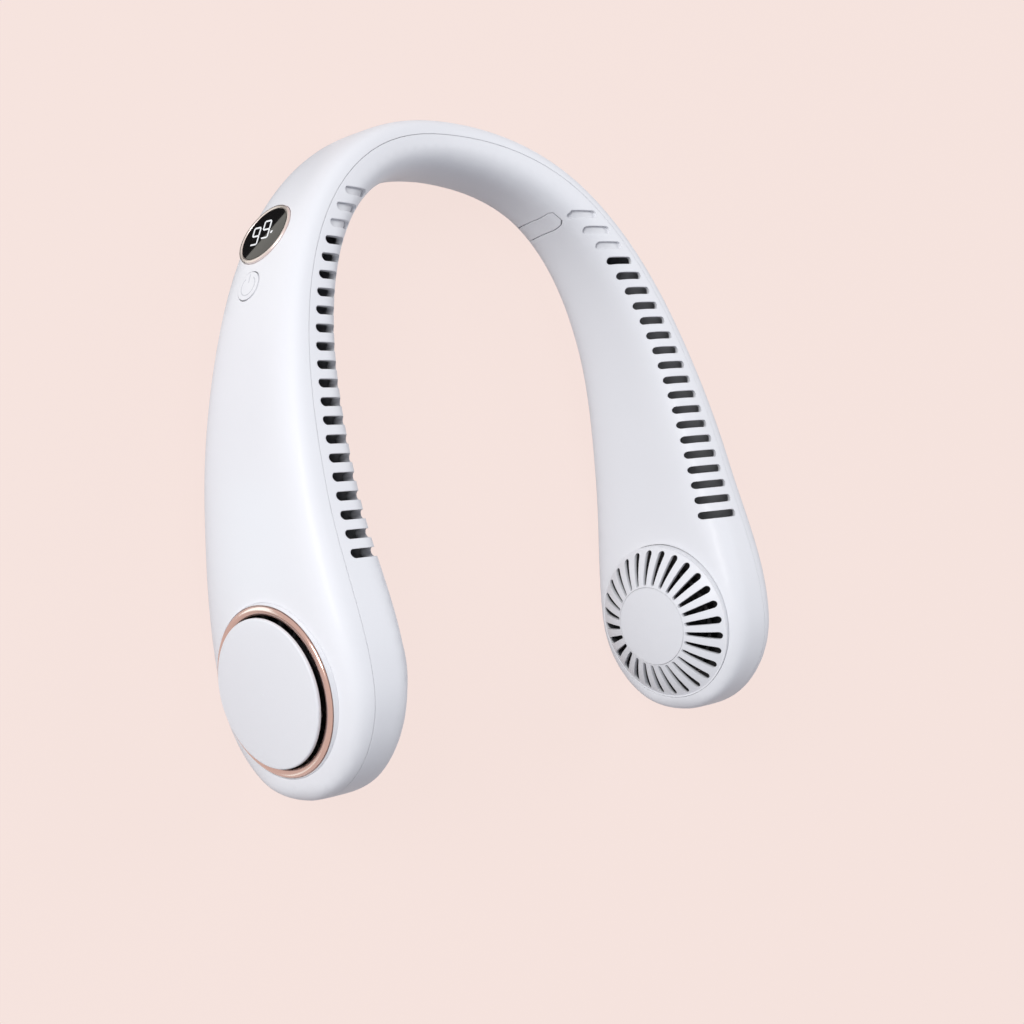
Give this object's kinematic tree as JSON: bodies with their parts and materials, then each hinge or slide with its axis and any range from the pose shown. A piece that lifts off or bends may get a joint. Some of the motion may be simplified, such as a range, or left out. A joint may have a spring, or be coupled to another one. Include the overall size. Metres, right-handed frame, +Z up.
{
  "type": "electric neck fan",
  "caption": "U-shaped wearable neck fan in white plastic with a blower and slotted grille in each disc end, a row of air vents along each arm, a round display and a power button.",
  "frame": {"origin": "under the middle of the housing, on the surface that its lower edges lie on", "axes": "+Z up as worn, with the vents on top; +Y towards the closed end at the back of the neck; +X towards the arm with the charging port"},
  "size_m": [0.2046, 0.199, 0.062],
  "materials": {
    "housing_white": "satin moulded plastic",
    "flap_white": "matte silicone",
    "button_white": "satin",
    "rose_gold": "rose gold metallised trim",
    "screen_black": "matte",
    "black_plastic": "matte",
    "magnet": "plain",
    "steel": "plain",
    "sintered_bronze": "sintered",
    "core_steel": "laminated",
    "copper_wire": "enamelled winding",
    "cell_wrap": "heat-shrink wrap",
    "board_green": "lacquered board",
    "display_glass": "polished black window",
    "display_lit": "lit segments"
  },
  "bodies": {
    "housing": {"outer_casing": "housing_white", "inner_casing": "housing_white", "intake_ring_left": "rose_gold", "intake_ring_right": "rose_gold", "intake_cap_left": "housing_white", "intake_cap_right": "housing_white", "intake_screen_left": "screen_black", "intake_screen_right": "screen_black", "grille_left": "housing_white", "grille_right": "housing_white", "grille_hub_cap_left": "housing_white", "grille_hub_cap_right": "housing_white", "bearing_left": "sintered_bronze", "bearing_right": "sintered_bronze", "stator_core_left": "core_steel", "stator_core_right": "core_steel", "stator_coils_left": "copper_wire", "stator_coils_right": "copper_wire", "motor_base_left": "steel", "motor_base_right": "steel", "motor_screws_left": "steel", "motor_screws_right": "steel", "scroll_left": "black_plastic", "scroll_right": "black_plastic", "duct_bulkhead_left": "housing_white", "duct_bulkhead_right": "housing_white", "battery_left": "cell_wrap", "battery_right": "cell_wrap", "main_board": "board_green", "display_bezel": "rose_gold", "display_window": "display_glass", "display_digits": "display_lit", "display_module": "black_plastic", "button_switch": "black_plastic", "switch_board": "board_green", "usb_socket": "steel", "charge_board": "board_green"},
    "impeller_left": {"impeller_left": "black_plastic", "rotor_magnet_left": "magnet", "motor_shaft_left": "steel"},
    "impeller_right": {"impeller_right": "black_plastic", "rotor_magnet_right": "magnet", "motor_shaft_right": "steel"},
    "power_button": {"power_button": "button_white"},
    "port_flap": {"port_flap": "flap_white"}
  },
  "joints": [
    {"name": "impeller_left_spin", "type": "hinge", "parent": "housing", "child": "impeller_left", "pos_m": [-0.07995, -0.06761, 0.031], "axis": [-0.9938, 0.1115, 0], "continuous": true},
    {"name": "impeller_right_spin", "type": "hinge", "parent": "housing", "child": "impeller_right", "pos_m": [0.07995, -0.06761, 0.031], "axis": [0.9938, 0.1115, 0], "continuous": true},
    {"name": "power_button_press", "type": "slide", "parent": "housing", "child": "power_button", "axis": [0.9125, -0.409, 0.0031], "range_m": [0, 0.0005], "stiffness_N_per_m": 800},
    {"name": "port_flap_open", "type": "hinge", "parent": "housing", "child": "port_flap", "pos_m": [0.04311, 0.07056, 0.02794], "axis": [-0.8021, 0.5972, 0], "range_deg": [0, 100]}
  ]
}
